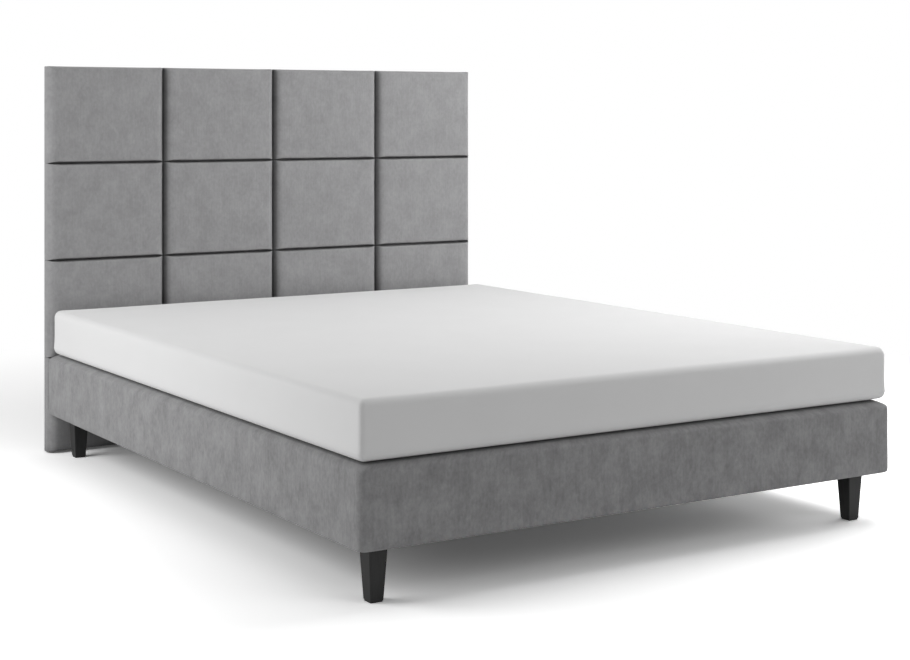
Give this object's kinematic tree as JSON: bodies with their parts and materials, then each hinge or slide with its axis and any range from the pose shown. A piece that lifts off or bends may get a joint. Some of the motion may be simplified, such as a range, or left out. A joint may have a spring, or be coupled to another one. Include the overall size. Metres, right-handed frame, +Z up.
{
  "type": "upholstered bed",
  "caption": "Double bed with an upholstered box base on tapered legs, a plain mattress and a tall headboard of square padded panels.",
  "frame": {"origin": "on the floor, at the middle of the bed's length and width", "axes": "+Z up, +Y from the foot end to the headboard, +X across the bed"},
  "size_m": [1.608, 2.124, 1.232],
  "materials": {
    "mattress_ticking": "matte",
    "mattress_foam": "matte",
    "upholstery": "matte",
    "padding": "matte",
    "lining": "matte",
    "softwood": "matte",
    "black_wood": "satin",
    "zinc_steel": "satin",
    "black_plastic": "matte"
  },
  "bodies": {
    "bed_frame": {"base_border_cover": "upholstery", "base_dust_cover": "lining", "base_felt_pad": "padding", "base_foam_pad": "padding", "base_foot_rail": "softwood", "base_head_rail": "softwood", "base_side_rail_left": "softwood", "base_side_rail_right": "softwood", "base_top_cover": "padding", "beam_brackets": "zinc_steel", "centre_beam": "softwood", "corner_blocks": "softwood", "headboard_back_cloth": "lining", "headboard_bolts": "zinc_steel", "headboard_glides": "black_plastic", "headboard_nuts": "zinc_steel", "headboard_pad_row_1_column_1": "upholstery", "headboard_pad_row_1_column_2": "upholstery", "headboard_pad_row_1_column_3": "upholstery", "headboard_pad_row_1_column_4": "upholstery", "headboard_pad_row_2_column_1": "upholstery", "headboard_pad_row_2_column_2": "upholstery", "headboard_pad_row_2_column_3": "upholstery", "headboard_pad_row_2_column_4": "upholstery", "headboard_pad_row_3_column_1": "upholstery", "headboard_pad_row_3_column_2": "upholstery", "headboard_pad_row_3_column_3": "upholstery", "headboard_pad_row_3_column_4": "upholstery", "headboard_pad_row_4_column_1": "upholstery", "headboard_pad_row_4_column_2": "upholstery", "headboard_pad_row_4_column_3": "upholstery", "headboard_pad_row_4_column_4": "upholstery", "headboard_rail_1": "softwood", "headboard_rail_2": "softwood", "headboard_rail_3": "softwood", "headboard_rail_4": "softwood", "headboard_rail_5": "softwood", "headboard_upright_1": "softwood", "headboard_upright_2": "softwood", "headboard_upright_3": "softwood", "headboard_washers": "zinc_steel", "leg_bolts": "zinc_steel", "leg_centre": "black_wood", "leg_foot_left": "black_wood", "leg_foot_right": "black_wood", "leg_glides": "black_plastic", "leg_head_left": "black_wood", "leg_head_right": "black_wood", "leg_nuts": "zinc_steel", "pad_boards_row_1": "softwood", "pad_boards_row_2": "softwood", "pad_boards_row_3": "softwood", "pad_boards_row_4": "softwood", "slat_ledge_left": "softwood", "slat_ledge_right": "softwood", "slats": "softwood"},
    "mattress": {"mattress_core": "mattress_foam", "mattress_cover": "mattress_ticking"}
  },
  "joints": [
    {"name": "mattress_lift", "type": "slide", "parent": "bed_frame", "child": "mattress", "axis": [0, 0, 1], "range_m": [0, 0.4]}
  ]
}
